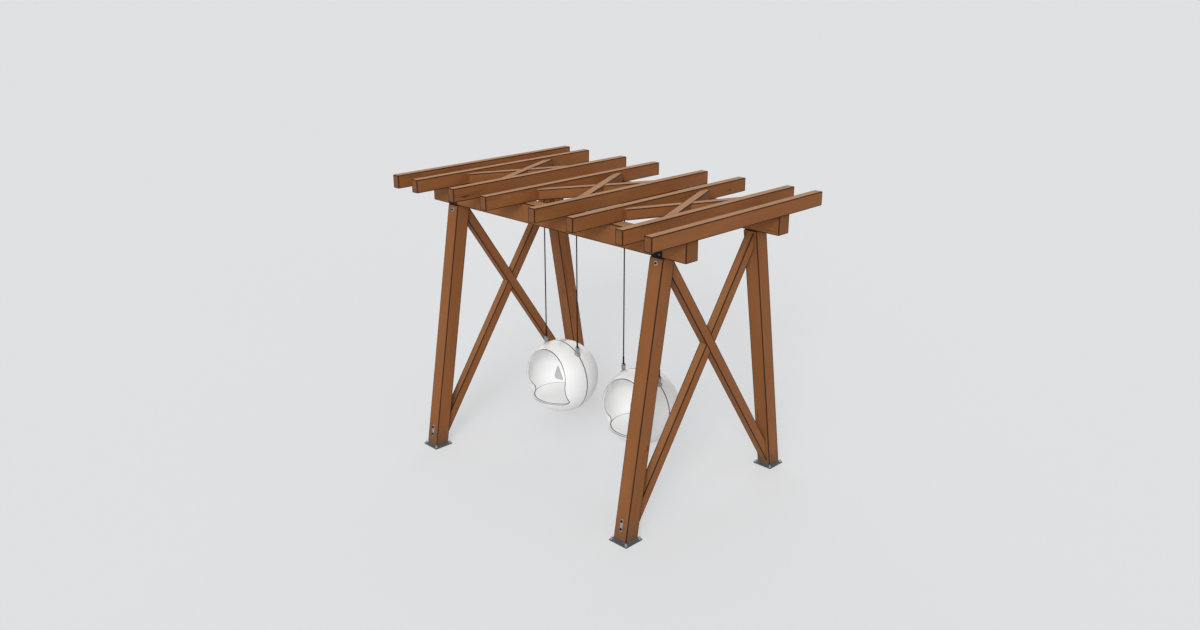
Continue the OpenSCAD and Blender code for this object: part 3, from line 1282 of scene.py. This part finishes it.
@dataclass
class Ropes:
    """One seat's hangers and its two twisted wire ropes with forks at both ends."""

    hand: Hand
    finishes: Finishes
    edge: float = 0.0012
    rope_r: float = 0.0070
    lay: float = 0.090
    lay_steps: int = 14
    strands: int = 6
    strand_share: float = 0.345
    strand_spread: float = 1.05
    strand_sides: int = 6
    gripped: float = 0.006
    lug_reach: float = 0.042
    lug_half: float = 0.006
    cheek_t: float = 0.008
    fork_gap: float = 0.001
    fork_r: float = 0.017
    fork_cut: float = 0.004
    crotch: float = 0.028
    root: float = 0.014
    root_edge: float = 0.0016
    pin_r: float = 0.007
    pin_head: tuple[Point2, ...] = (
        (0.0110, 0.0), (0.0110, 0.0022), (0.0098, 0.0036), (0.0060, 0.0040), (0.0, 0.0040)
    )
    sleeve_l: float = 0.080
    sleeve_r: float = 0.0100
    collar: tuple[Point2, ...] = (
        (0.0, -0.002), (0.0130, -0.002), (0.0130, 0.006), (0.0120, 0.008), (0.0100, 0.008)
    )
    grooves: int = 4
    groove_start: float = 0.016
    groove_pitch: float = 0.013
    groove: tuple[Point2, ...] = ((0.0, 0.0), (0.0011, 0.0018), (0.0011, 0.0052), (0.0, 0.0070))
    taper: tuple[Point2, ...] = ((0.0030, -0.010), (0.0014, -0.001), (0.0006, 0.0))
    hanger_t: float = 0.008
    screw_dx: float = 0.029
    screw_dy: float = 0.058
    screw: tuple[Point2, ...] = (
        (0.0, -0.001), (0.0085, -0.001), (0.0085, 0.0008), (0.0076, 0.0022), (0.0045, 0.0036), (0.0, 0.0040)
    )
    key_flats: float = 0.0050
    key_h: float = 0.0010

    @property
    def low_pin_z(self) -> float:
        """Height of the pins on the ball."""
        return BALL_Z + EYE_RISE + self.lug_reach

    @property
    def fork_top(self) -> float:
        """Height of a fork's root above its pin."""
        return self.crotch + self.root

    @property
    def places(self) -> Point2:
        """Places of the two ropes along X."""
        return (self.hand.x - ROPE_DX, self.hand.x + ROPE_DX)

    def build(self) -> None:
        """Dresses the hangers and makes the ropes with their ends."""
        node = f"{self.hand.label}_cables"
        soften(f"{self.hand.label}_hangers", self.edge, self.finishes.coated)
        soften(f"{self.hand.label}_lugs", self.edge, self.finishes.fitting)
        self.hanger_screws()
        rope, sleeves, forks = Form(), Form(), Form()
        for x in self.places:
            self.twist(rope, x)
            low = Matrix.Translation((x, 0.0, self.low_pin_z))
            high = Matrix.Translation((x, 0.0, TOP_PIN_Z)) @ Matrix.Rotation(HALF_TURN, 4, "X")
            for place in (low, high):
                self.fork(forks, place)
                self.sleeve(sleeves, place)
        for form, part, material in (
            (rope, "wire_ropes", self.finishes.rope),
            (sleeves, "rope_sleeves", self.finishes.rope),
            (forks, "rope_forks", self.finishes.fitting),
        ):
            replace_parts(form.made(f"{self.hand.label}_{part}", material, self.hand.body, Slot.CABLE), node)

    def twist(self, form: Form, x: float) -> None:
        """Strands of one rope, laid round each other from fork to fork.

        Args:
            form: Mesh that the strands are added to.
            x: Place of the rope.
        """
        bury = self.fork_top + self.sleeve_l - self.gripped
        low, high = self.low_pin_z + bury, TOP_PIN_Z - bury
        thick, wide = self.rope_r * self.strand_share, self.strand_spread
        ring = around(self.strand_sides)
        steps = int((high - low) / self.lay * self.lay_steps)
        for strand in range(self.strands):
            rows = []
            for z in spread(low, high, steps):
                a = FULL_TURN * (strand / self.strands + (z - low) / self.lay)
                c, t = polar(1.0, a, 0.0), polar(1.0, a + QUARTER_TURN, 0.0)
                centre = Vector((x, 0.0, z)) + c * (self.rope_r - thick)
                rows.append([centre + thick * (math.cos(b) * c + wide * math.sin(b) * t) for b in ring])
            form.grid(rows)

    def fork(self, form: Form, place: Matrix) -> None:
        """A fork with its pin at the local origin, its root upwards.

        Args:
            form: Mesh that the fork is added to.
            place: Where the local frame lies.
        """
        half = self.lug_half + self.fork_gap + self.cheek_t
        r, cut, top = self.fork_r, self.fork_cut, self.fork_top
        outline = arc((0.0, 0.0), r, HALF_TURN, FULL_TURN, 20)
        outline += [(r, top - cut), (r - cut, top), (cut - r, top), (-r, top - cut)]
        pin_outline = [(0.0, -self.cheek_t), (self.pin_r, -self.cheek_t), (self.pin_r, 0.0), *self.pin_head]
        turn = Matrix(((0.0, 0.0, 1.0), (1.0, 0.0, 0.0), (0.0, 1.0, 0.0))).to_4x4()
        for face in (-1, 1):
            low, high = sorted((face * (half - self.cheek_t), face * half))
            form.plate(outline, low, high, place @ turn, self.edge)
            pin = place @ Matrix.Rotation(face * QUARTER_TURN, 4, "Y") @ Matrix.Translation((0.0, 0.0, half))
            form.turned(pin_outline, pin)
        block = [(-half, -r), (half, -r), (half, r), (-half, r)]
        form.plate(block, self.crotch, top, place, self.root_edge)

    def sleeve(self, form: Form, place: Matrix) -> None:
        """Swaged sleeve that grips a rope above its fork.

        Args:
            form: Mesh that the sleeve is added to.
            place: Local frame of the fork.
        """
        top, end = self.fork_top, self.fork_top + self.sleeve_l
        outline = [(r, top + z) for r, z in self.collar]
        for i in range(self.grooves):
            start = top + self.groove_start + self.groove_pitch * i
            outline += [(self.sleeve_r - depth, start + z) for depth, z in self.groove]
        outline += [(self.rope_r + proud, end + z) for proud, z in self.taper]
        form.turned(outline + [(0.0, end)], place, sides=28)

    def hanger_screws(self) -> None:
        """Four low round-headed screws in each hanger's plate."""
        form = Form()
        for x in self.places:
            for ex, ey in SIGN_PAIRS:
                at = Vector((x + ex * self.screw_dx, ey * self.screw_dy, RAFTER_Z - self.hanger_t))
                place = facing(at, -Z, Y)
                form.turned(self.screw, place, sides=24)
                form.hexagon(self.key_flats, self.key_h, place, self.screw[-2][1])
        form.fixed(f"{self.hand.label}_hanger_screws", self.finishes.coated)


@dataclass
class BallSeat:
    """One hollow ball seat: a front shell with an arched mouth, a back shell, a flat seat and fittings."""

    hand: Hand
    finishes: Finishes
    mouth: Mouth = Mouth()
    lip: float = 0.007
    inner_lip: float = 0.004
    seam: float = 0.0070
    seam_gap: float = 0.0040
    rebate: float = 0.0140
    butt: float = 0.0003
    pan_t: float = 0.030
    pan_dish: float = 0.005
    pan_round: float = 0.006
    gasket_drop: float = 0.0028
    gasket_t: float = 0.010
    gasket_grip: float = 0.0004
    gasket_crown: Point2 = (0.0006, 0.0008)
    boss: tuple[Point2, ...] = (
        (0.0, -0.006), (0.0360, -0.006), (0.0365, -0.001), (0.0365, 0.0035), (0.0350, 0.0055),
        (0.0305, 0.0062), (0.0290, 0.0095), (0.0260, 0.0120), (0.0160, 0.0135), (0.0, 0.0140),
    )
    fairing_corners: tuple[tuple[float, float, float], ...] = (
        (-0.307, 0.220, -0.023), (-0.301, 0.156, -0.167), (-0.216, 0.231, -0.205)
    )
    fairing_round: float = 0.22
    fairing_steps: tuple[Point2, ...] = (
        (1.0, -0.001), (0.985, 0.006), (0.95, 0.009), (0.90, 0.009), (0.86, 0.006), (0.80, 0.001),
        (0.74, 0.004), (0.68, 0.001), (0.58, 0.004), (0.50, 0.001), (0.38, 0.004), (0.28, 0.001),
        (0.0, 0.001),
    )

    @property
    def centre(self) -> Vector:
        """The ball's centre."""
        return Vector((self.hand.x, 0.0, BALL_Z))

    @property
    def axis(self) -> Matrix:
        """Local frame at the ball's centre, Z along its axis to the back."""
        return Matrix.Translation(self.centre) @ Matrix.Rotation(-QUARTER_TURN, 4, "X")

    def build(self) -> None:
        """Makes every piece of the seat."""
        name, body = self.hand.label, self.hand.body
        for part, form, material in (
            ("front_shell", self.front(), self.finishes.outside),
            ("back_shell", self.back(), self.finishes.outside),
            ("seat_pan", self.pan(), self.finishes.inside),
        ):
            piece = form.made(f"{name}_{part}_moulding", material, body, Slot.SHELL)
            smooth = piece.modifiers.new("even_shading", "WEIGHTED_NORMAL")
            smooth.keep_sharp = True
            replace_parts(piece, f"{name}_{part}")
        self.gasket().made(f"{name}_seam_gasket", self.finishes.rubber, body, Slot.SHELL)
        self.eyes().made(f"{name}_eye_bosses", self.finishes.fitting, body, Slot.STEEL)
        self.fairing().made(f"{name}_side_fairing", self.finishes.fairing, body, Slot.SHELL)

    def meridian(self, radius: float, start: float, stop: float, steps: int) -> list[Point2]:
        """Points along a ball's meridian, with angles from its front.

        Args:
            radius: The ball's radius.
            start: First angle.
            stop: Last angle.
            steps: Number of steps.

        Returns:
            Points as (y, distance from the axis).
        """
        return [(-radius * math.cos(a), radius * math.sin(a)) for a in spread(start, stop, steps)]

    def skin(self, start: float, steps: int) -> list[Point2]:
        """Outside of the front half from an angle to the seam, and on through the seam's rebate.

        Args:
            start: Angle from the ball's front.
            steps: Number of steps along the outside.

        Returns:
            Points as (y, distance from the axis).
        """
        outside = self.meridian(BALL_R, start, QUARTER_TURN - self.seam / BALL_R, steps)
        edge = bend(outside[-1], (-self.seam_gap, BALL_R), (-self.seam_gap, BALL_R - self.seam), 4)
        root = BALL_R - self.rebate
        return outside[:-1] + edge + [(-self.seam_gap, root), (-self.butt, root)]

    def lining(self, stop: float, steps: int) -> list[Point2]:
        """Inside of the front half from the seam to an angle, as points (y, distance from the axis)."""
        return self.meridian(INNER_R, QUARTER_TURN - self.butt / INNER_R, stop, steps)

    def section(self, reach: float) -> list[Point2]:
        """Section of the front shell's wall in a plane through the ball's axis.

        Args:
            reach: Distance from the axis to the mouth in that plane.

        Returns:
            Points around the wall as (y, distance from the axis).
        """
        y_in, y_out = -math.sqrt(INNER_R**2 - reach**2), -math.sqrt(BALL_R**2 - reach**2)
        inside = self.lining(math.asin(reach / INNER_R) + self.inner_lip / INNER_R, 22)
        outside = self.skin(math.asin(reach / BALL_R) + self.lip / BALL_R, 30)
        rim_in, rim_out = y_in - self.inner_lip, y_out + self.lip
        points = inside[:-1] + bend(inside[-1], (y_in, reach), (rim_in, reach), 5)
        points.append(((rim_in + rim_out) / 2.0, reach))
        return points + bend((rim_out, reach), (y_out, reach), outside[0], 7)[:-1] + outside

    def front(self) -> Form:
        """The front shell with its mouth.

        Returns:
            Its mesh.
        """
        form, rows = Form(), []
        for x, z in self.mouth.outline():
            reach = math.hypot(x, z)
            out = Vector((x / reach, 0.0, z / reach))
            rows.append([self.centre + out * r + Y * y for y, r in self.section(reach)])
        form.grid(rows, close_rows=True)
        return form

    def back(self) -> Form:
        """The back shell, the front half mirrored without its mouth and turned about the ball's axis.

        Returns:
            Its mesh.
        """
        form = Form()
        points = self.skin(0.0, 40) + self.lining(0.0, 40)
        form.turned([(r, -y) for y, r in points], self.axis, sides=160)
        return form

    def pan(self) -> Form:
        """The flat seat, its edge following the shell and its middle a little lower.

        Returns:
            Its mesh.
        """
        top, low = -self.mouth.sill, -self.mouth.sill - self.pan_t
        edge, foot = self.mouth.pan_r, math.sqrt((INNER_R - PAN_GAP) ** 2 - low**2)
        points = []
        for r in spread(0.0, edge - self.pan_round, 24):
            points.append((r, top - self.pan_dish * (1.0 - (r / edge) ** 2) ** 2))
        side = (edge - self.pan_round / 2.0, top - self.pan_round)
        points += bend(points[-1], (edge - self.pan_round / 12.0, top), side, 5)[1:]
        form = Form()
        points += [(foot, low), (0.0, low)]
        form.turned(points, Matrix.Translation(self.centre), sides=128)
        return form

    def gasket(self) -> Form:
        """Thin strip in the seam between the two shells.

        Returns:
            Its mesh.
        """
        crown, ease = self.gasket_crown
        top, half = BALL_R - self.gasket_drop, self.seam_gap + self.gasket_grip
        outline = [(top - self.gasket_t, -half), (top, -half), (top + crown, ease - half)]
        outline += [(r, -h) for r, h in reversed(outline)]
        form = Form()
        form.grid([[self.axis @ polar(r, a, h) for r, h in outline] for a in around(200)], close_rows=True)
        return form

    def eyes(self) -> Form:
        """Round bosses on the seam, one at the root of each lug.

        Returns:
            Their mesh.
        """
        form = Form()
        for dx in (-ROPE_DX, ROPE_DX):
            out = Vector((dx, 0.0, EYE_RISE)).normalized()
            form.turned(self.boss, facing(self.centre + out * BALL_R, out, Y), sides=40)
        return form

    def fairing(self) -> Form:
        """Small three-cornered moulded pocket on the inner wall beside the seat.

        Returns:
            Its mesh.
        """
        corners = [Vector(corner) for corner in self.fairing_corners]
        middle = sum(corners, Vector()) / 3.0
        outline = []
        for before, corner, after in zip(corners[-1:] + corners, corners, corners[1:] + corners):
            first, last = corner.lerp(before, self.fairing_round), corner.lerp(after, self.fairing_round)
            outline += [Vector(point) for point in bend(first, corner, last, 8)]
        rows = []
        for share, rise in self.fairing_steps:
            ring = [middle.lerp(point, share).normalized() * (INNER_R - rise) for point in outline]
            rows.append([self.centre + point for point in ring])
        form = Form()
        form.grid(rows)
        return form


@dataclass(frozen=True)
class Sun:
    """A soft distant lamp: the way towards it, its level and its spread in degrees."""

    toward: tuple[float, float, float]
    level: float
    spread: float


@dataclass
class Studio:
    """Pale floor, soft light and the camera of the photograph."""

    floor: Colour = (0.795, 0.803, 0.815)
    floor_reach: float = 400.0
    backdrop: Colour = (0.745, 0.753, 0.762)
    shadow: float = 0.40
    sky: float = 0.26
    suns: tuple[Sun, ...] = (
        Sun((0.10, -0.10, 1.0), 0.17, 60.0),
        Sun((0.52, -0.75, 0.42), 0.58, 20.0),
        Sun((0.28, -0.70, 0.66), 0.16, 40.0),
        Sun((0.90, -0.35, 0.30), 0.10, 45.0),
        Sun((-1.0, 0.8, 0.45), 0.34, 80.0),
    )
    eye: tuple[float, float, float] = (7.4227, -7.4588, 5.2609)
    azimuth: float = 44.858
    elevation: float = 19.0485
    focal_px: float = 1044.8855
    photo_px: float = 1200.0
    sensor_mm: float = 36.0
    sight: float = 3000.0

    def build(self) -> None:
        """Makes the floor, the light and the camera."""
        self.ground()
        self.light()
        self.camera()
        bpy.context.scene.view_settings.view_transform = "Standard"

    def ground(self) -> None:
        """Level floor that fills the picture."""
        mesh = bpy.data.meshes.new("floor")
        corners = ((-1, -1), (1, -1), (1, 1), (-1, 1))
        points = [(dx * self.floor_reach, dy * self.floor_reach, 0.0) for dx, dy in corners]
        mesh.from_pydata(points, [], [(0, 1, 2, 3)])
        g = Graph.named("studio_floor")
        lit = g.node("ShaderNodeBsdfDiffuse", sockets={"Color": self.floor})
        even = g.node("ShaderNodeEmission", sockets={"Color": self.backdrop, "Strength": 1.0})
        share = g.node("ShaderNodeLightPath", out="Is Camera Ray") * (1.0 - self.shadow)
        mesh.materials.append(g.end(g.node("ShaderNodeMixShader", sockets={0: share, 1: lit, 2: even})))
        floor = bpy.data.objects.new("floor", mesh)
        bpy.context.scene.collection.objects.link(floor)

    def light(self) -> None:
        """Even sky with a few soft suns."""
        world = bpy.data.worlds.new("studio")
        bpy.context.scene.world = world
        g = Graph(world)
        path = g.node("ShaderNodeLightPath", out="Is Camera Ray")
        seen = path.larger(path.beside("Is Glossy Ray")).larger(path.beside("Is Transmission Ray"))
        lit = g.node("ShaderNodeBackground", sockets={"Color": (1.0, 1.0, 1.0), "Strength": self.sky})
        even = g.node("ShaderNodeBackground", sockets={"Color": self.backdrop, "Strength": 1.0})
        g.end(g.node("ShaderNodeMixShader", sockets={0: seen, 1: lit, 2: even}))
        for number, sun in enumerate(self.suns):
            data = bpy.data.lights.new(f"sun_{number}", "SUN")
            data.energy = sun.level * math.pi
            data.angle = math.radians(sun.spread)
            lamp = bpy.data.objects.new(f"sun_{number}", data)
            lamp.rotation_euler = Vector(sun.toward).to_track_quat("Z", "Y").to_euler()
            bpy.context.scene.collection.objects.link(lamp)

    def camera(self) -> None:
        """Camera at the photograph's place."""
        data = bpy.data.cameras.new("camera")
        data.sensor_fit = "HORIZONTAL"
        data.sensor_width = self.sensor_mm
        data.lens = self.focal_px * self.sensor_mm / self.photo_px
        data.clip_end = self.sight
        camera = bpy.data.objects.new("camera", data)
        camera.location = self.eye
        camera.rotation_euler = (math.radians(90.0 - self.elevation), 0.0, math.radians(self.azimuth))
        bpy.context.scene.collection.objects.link(camera)
        bpy.context.scene.camera = camera


def main() -> None:
    """Builds the scene in order."""
    logging.basicConfig(level=logging.INFO, format="%(name)s %(message)s")
    Studio().build()
    finishes = Finishes()
    Timbers().dress()
    Feet(finishes).build()
    Brackets(finishes).build()
    for hand in Hand:
        Ropes(hand, finishes).build()
        BallSeat(hand, finishes).build()


if __name__ == "__main__":
    main()
